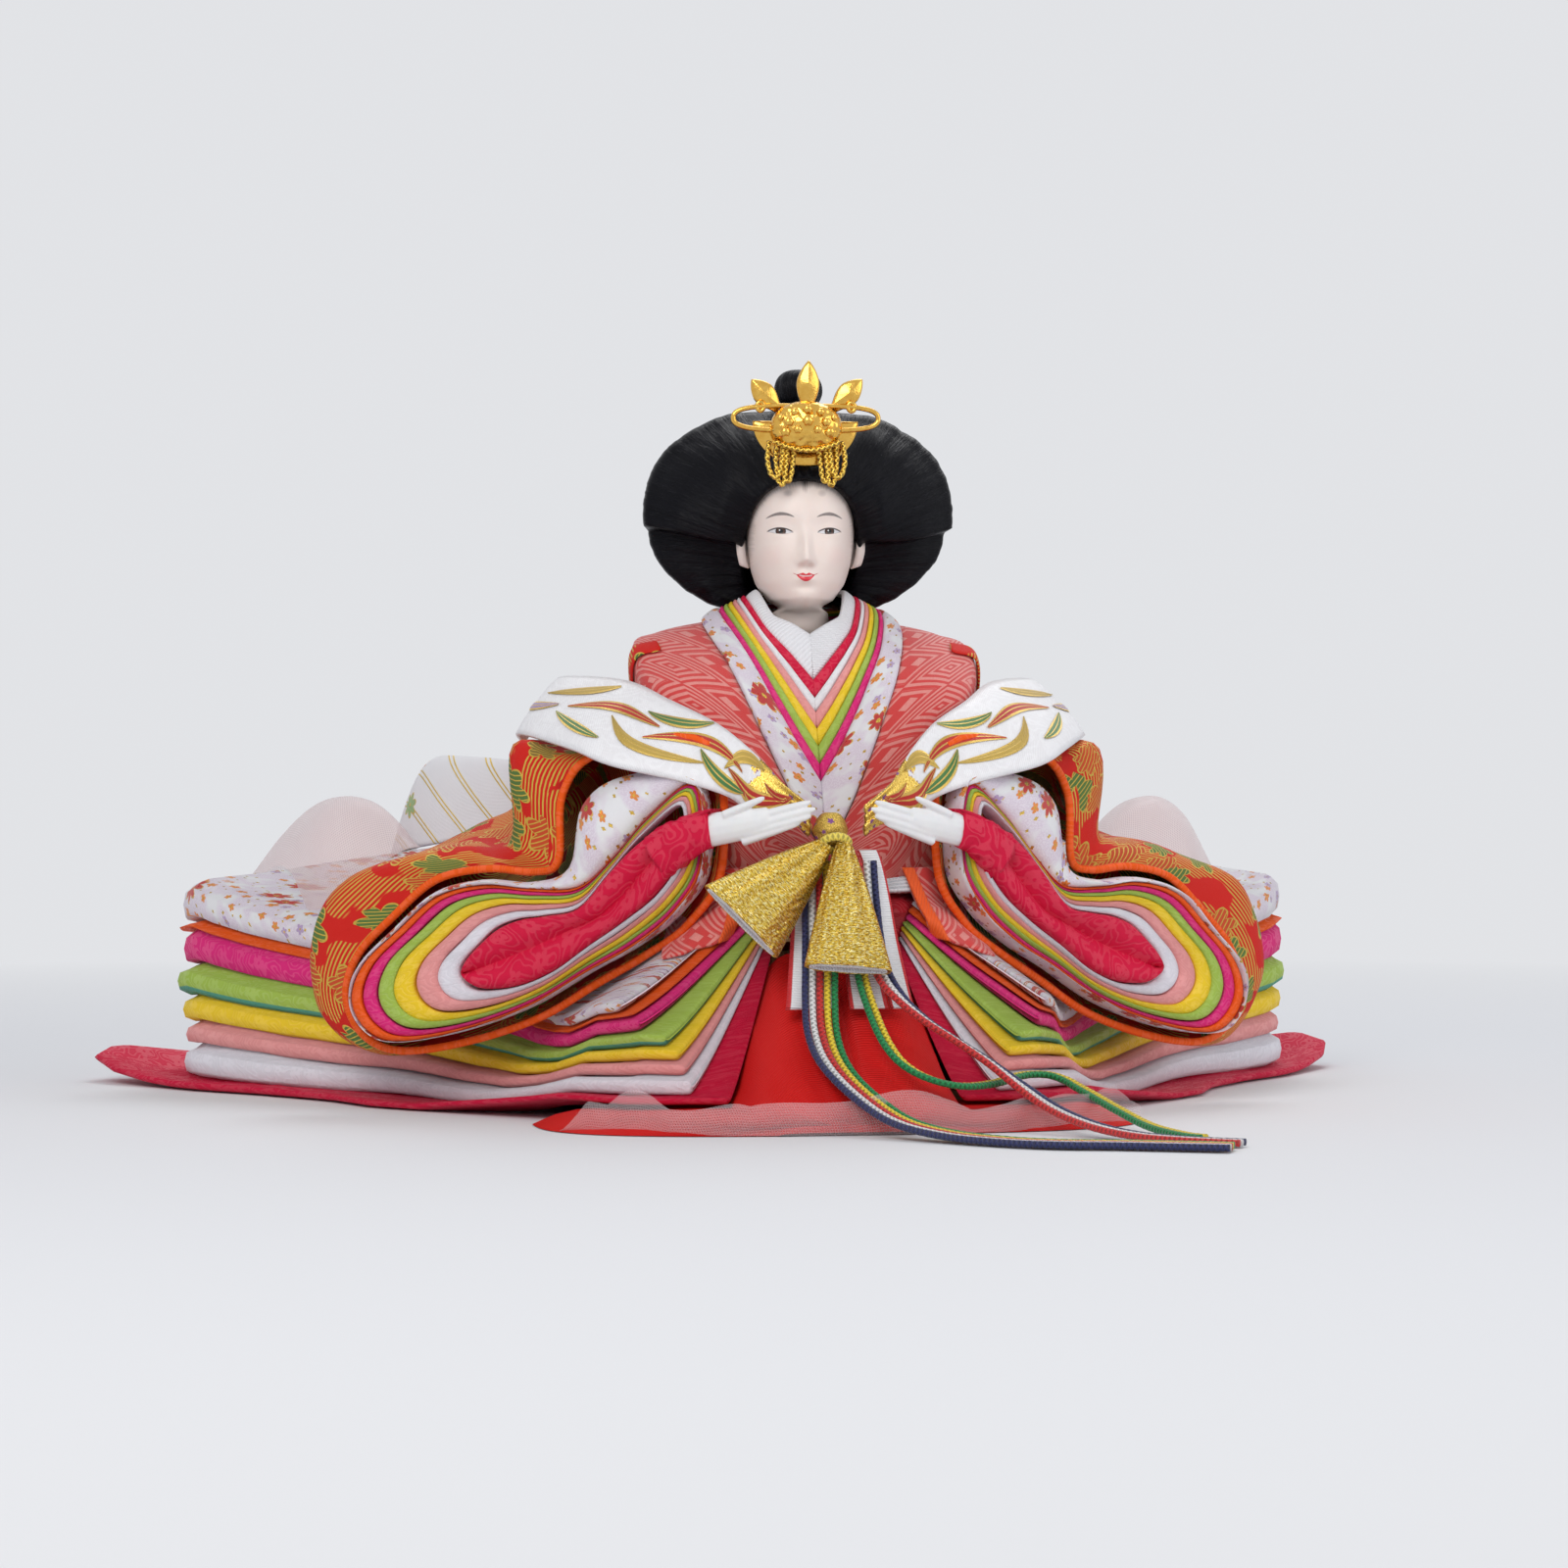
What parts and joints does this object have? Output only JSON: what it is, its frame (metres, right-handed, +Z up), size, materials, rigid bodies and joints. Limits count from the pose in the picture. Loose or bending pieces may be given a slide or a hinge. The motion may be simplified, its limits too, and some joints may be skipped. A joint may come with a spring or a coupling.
{
  "type": "hina doll",
  "caption": "Seated empress festival doll in layered court robes with a gold crown; the head turns on a neck stick that lifts out of the straw torso.",
  "frame": {"origin": "middle of the doll's footprint on the floor, cords left out", "axes": "-Y the way the doll faces, +X to the viewer's right, +Z up"},
  "size_m": [0.3372, 0.2678, 0.184],
  "materials": {
    "robe_crimson": "woven silk",
    "robe_white": "woven silk",
    "robe_rose": "woven silk",
    "robe_yellow": "woven silk",
    "robe_green": "woven silk",
    "robe_magenta": "woven silk",
    "robe_orange": "woven silk",
    "robe_brocade": "woven silk",
    "collar_white": "woven silk",
    "collar_crimson": "woven silk",
    "collar_lilac": "woven silk",
    "collar_rose": "woven silk",
    "collar_yellow": "woven silk",
    "collar_green": "woven silk",
    "collar_magenta": "woven silk",
    "collar_brocade": "woven silk",
    "base_wood": "planed",
    "straw": "bound straw",
    "hakama_silk": "ribbed silk",
    "jacket_silk": "silk brocade",
    "sash_silk": "silk",
    "strap_silk": "silk with red edges",
    "band_satin": "satin with woven leaves",
    "sleeve_scarlet": "silk brocade",
    "sleeve_pearl": "silk brocade",
    "sleeve_layers": "five silk layers",
    "sleeve_crimson": "woven silk",
    "porcelain": "powdered shell white",
    "gold_lame": "gold thread",
    "train_silk": "silk",
    "organza": "sheer silk",
    "face_powder": "powdered shell white",
    "stick_wood": "turned",
    "hair_black": "silk thread",
    "tie_paper": "paper cord",
    "crown_gold": "polished",
    "cord_navy": "braided silk",
    "cord_white": "braided silk",
    "cord_red": "braided silk",
    "cord_yellow": "braided silk",
    "cord_green": "braided silk"
  },
  "bodies": {
    "figure": {"robe_crimson": "robe_crimson", "robe_white": "robe_white", "robe_rose": "robe_rose", "robe_yellow": "robe_yellow", "robe_green": "robe_green", "robe_magenta": "robe_magenta", "robe_orange": "robe_orange", "robe_brocade": "robe_brocade", "collar_white": "collar_white", "collar_crimson": "collar_crimson", "collar_lilac": "collar_lilac", "collar_rose": "collar_rose", "collar_yellow": "collar_yellow", "collar_green": "collar_green", "collar_magenta": "collar_magenta", "collar_brocade": "collar_brocade", "base_board": "base_wood", "straw_torso": "straw", "hakama": "hakama_silk", "jacket": "jacket_silk", "waist_sash": "sash_silk", "straps": "strap_silk", "bow_knot": "gold_lame", "train_white": "train_silk", "band_left": "band_satin", "sleeve_scarlet_left": "sleeve_scarlet", "sleeve_pearl_left": "sleeve_pearl", "sleeve_layers_left": "sleeve_layers", "sleeve_crimson_left": "sleeve_crimson", "hand_left": "porcelain", "bow_left": "gold_lame", "wing_left": "organza", "band_right": "band_satin", "sleeve_scarlet_right": "sleeve_scarlet", "sleeve_pearl_right": "sleeve_pearl", "sleeve_layers_right": "sleeve_layers", "sleeve_crimson_right": "sleeve_crimson", "hand_right": "porcelain", "bow_right": "gold_lame", "wing_right": "organza", "cord_left_navy": "cord_navy", "cord_left_white": "cord_white", "cord_left_red": "cord_red", "cord_left_yellow": "cord_yellow", "cord_left_green": "cord_green", "cord_curl_green": "cord_green", "cord_curl_yellow": "cord_yellow", "cord_right_red": "cord_red", "cord_right_white": "cord_white", "cord_right_navy": "cord_navy"},
    "neck": {"neck_stick": "stick_wood"},
    "head": {"head": "face_powder", "hair": "hair_black", "hair_topknot": "hair_black", "hair_tail": "hair_black", "tail_tie": "tie_paper", "crown_plates": "crown_gold", "crown_pin": "crown_gold", "crown_dome": "crown_gold", "crown_loops": "crown_gold"}
  },
  "joints": [
    {"name": "head_lift", "type": "slide", "parent": "figure", "child": "neck", "axis": [0, 0, 1], "range_m": [0, 0.06]},
    {"name": "head_turn", "type": "hinge", "parent": "neck", "child": "head", "pos_m": [0, -0.01806, 0.125], "axis": [0, 0, 1], "range_deg": [-15, 15]}
  ]
}
